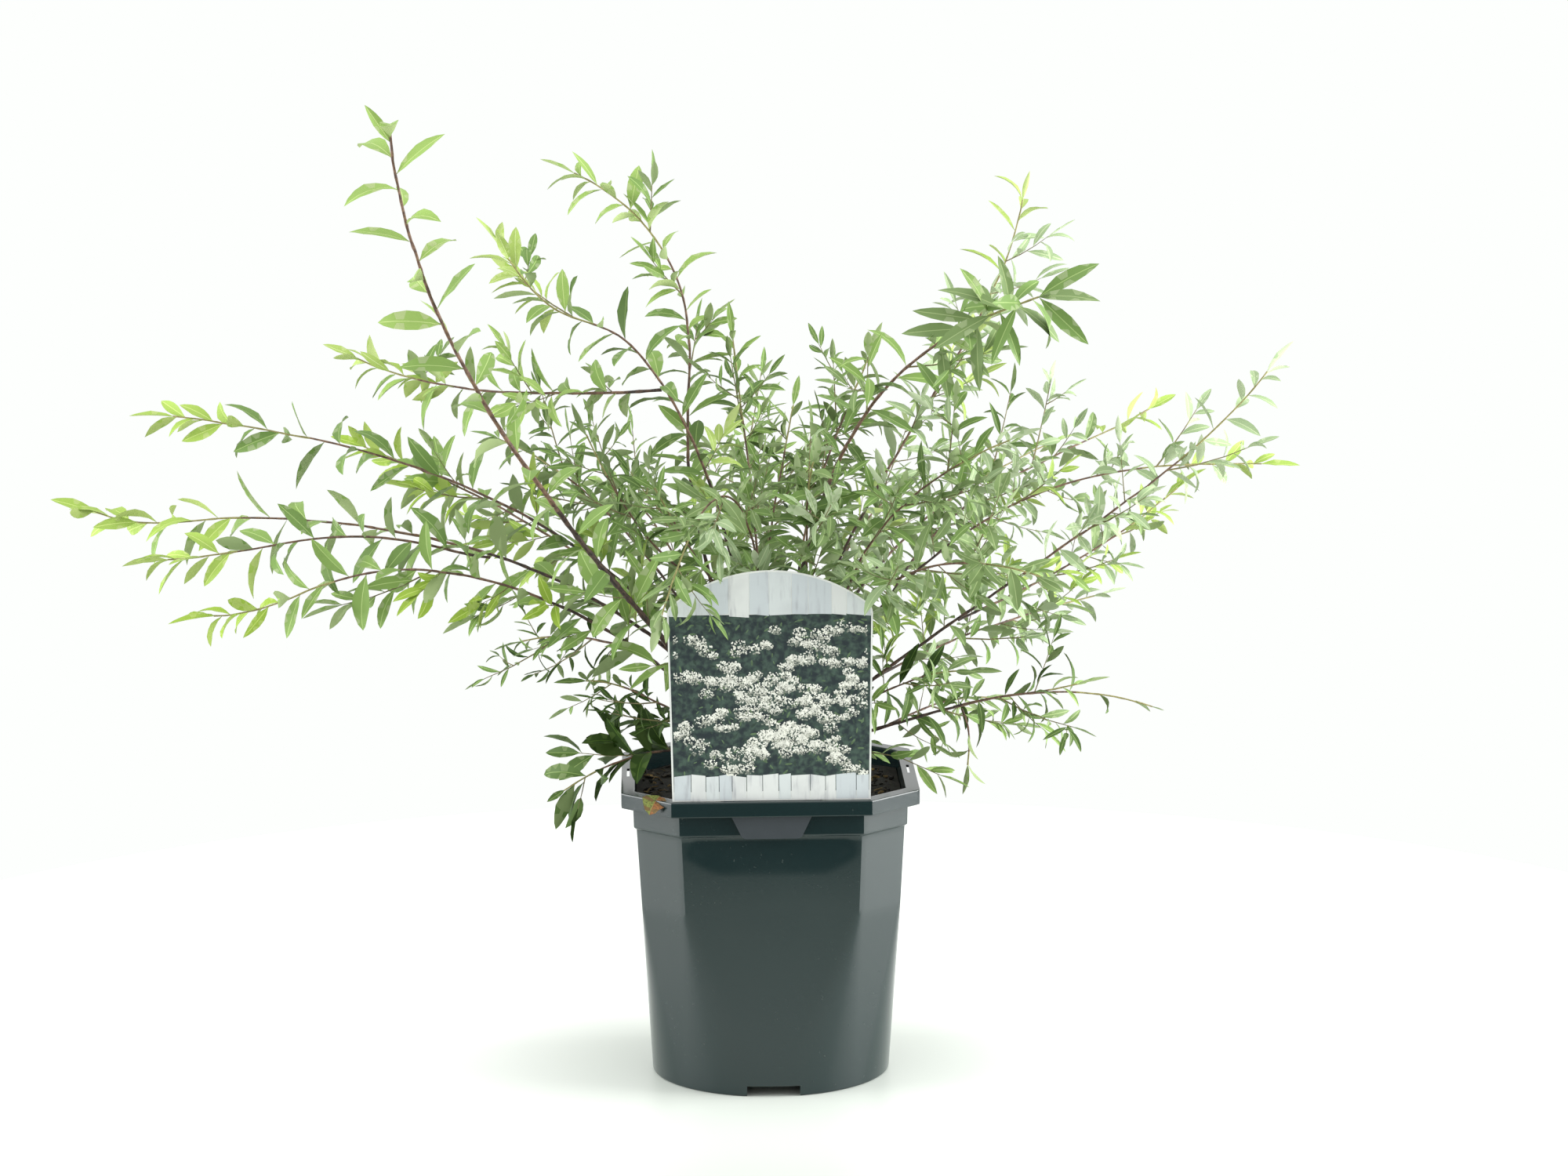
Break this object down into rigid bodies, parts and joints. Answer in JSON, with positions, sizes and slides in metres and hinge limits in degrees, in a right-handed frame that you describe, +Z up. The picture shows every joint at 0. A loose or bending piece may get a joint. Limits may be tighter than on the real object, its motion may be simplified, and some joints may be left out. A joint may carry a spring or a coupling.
{
  "type": "spirea shrub in a nursery pot",
  "caption": "Young spirea shrub with long arching canes of narrow leaves, rooted in a dark green octagonal nursery pot with a plain picture label.",
  "frame": {"origin": "middle of the pot's flat underside, on the surface that it stands on", "axes": "+Z up, +X to the right of somebody who looks at the label, +Y from the label's front towards the back"},
  "size_m": [0.8066, 0.4823, 0.6378],
  "materials": {
    "pot_plastic": "dark green-grey moulded polypropylene, slightly glossy",
    "potting_mix": "moist peat and bark crumbs, rough",
    "label": "printed plastic card, satin",
    "bark": "smooth red-brown young bark",
    "foliage": "narrow leaves, mid green, paler at the shoot tips, soft matt sheen"
  },
  "bodies": {
    "root": {"back_high_mass": "foliage", "back_left_bough": "bark", "back_left_mass": "foliage", "back_low_mass": "foliage", "back_mid_bough": "bark", "back_mid_left_mass": "foliage", "back_mid_mass": "foliage", "back_mid_right_mass": "foliage", "back_right_bough": "bark", "back_right_mass": "foliage", "centre_front_mass": "foliage", "centre_left_mass": "foliage", "centre_right_mass": "foliage", "centre_tip_mass": "foliage", "front_high_mass": "foliage", "front_left_mass": "foliage", "front_mid_mass": "foliage", "front_right_bough": "bark", "front_right_mass": "foliage", "label": "label", "left_arch_bough": "bark", "left_arch_mass": "foliage", "left_back_mass": "foliage", "left_high_bough": "bark", "left_high_mass": "foliage", "left_long_bough": "bark", "left_long_fork_mass": "foliage", "left_long_mass": "foliage", "left_low_bough": "bark", "left_low_mass": "foliage", "left_rim_mass": "foliage", "left_skirt_mass": "foliage", "left_tall_bough": "bark", "left_tall_mass": "foliage", "left_under_mass": "foliage", "left_upper_bough": "bark", "left_upper_fork_mass": "foliage", "left_upper_mass": "foliage", "pot": "pot_plastic", "potting_mix": "potting_mix", "right_back_mass": "foliage", "right_drop_mass": "foliage", "right_far_bough": "bark", "right_far_mass": "foliage", "right_low_bough": "bark", "right_low_fork_mass": "foliage", "right_low_mass": "foliage", "right_mid_mass": "foliage", "right_out_bough": "bark", "right_out_mass": "foliage", "right_skirt_mass": "foliage", "right_tall_bough": "bark", "right_tall_mass": "foliage", "right_tier_mass": "foliage", "right_under_mass": "foliage", "right_upright_bough": "bark", "right_upright_mass": "foliage", "short_stem": "bark"}
  },
  "joints": []
}
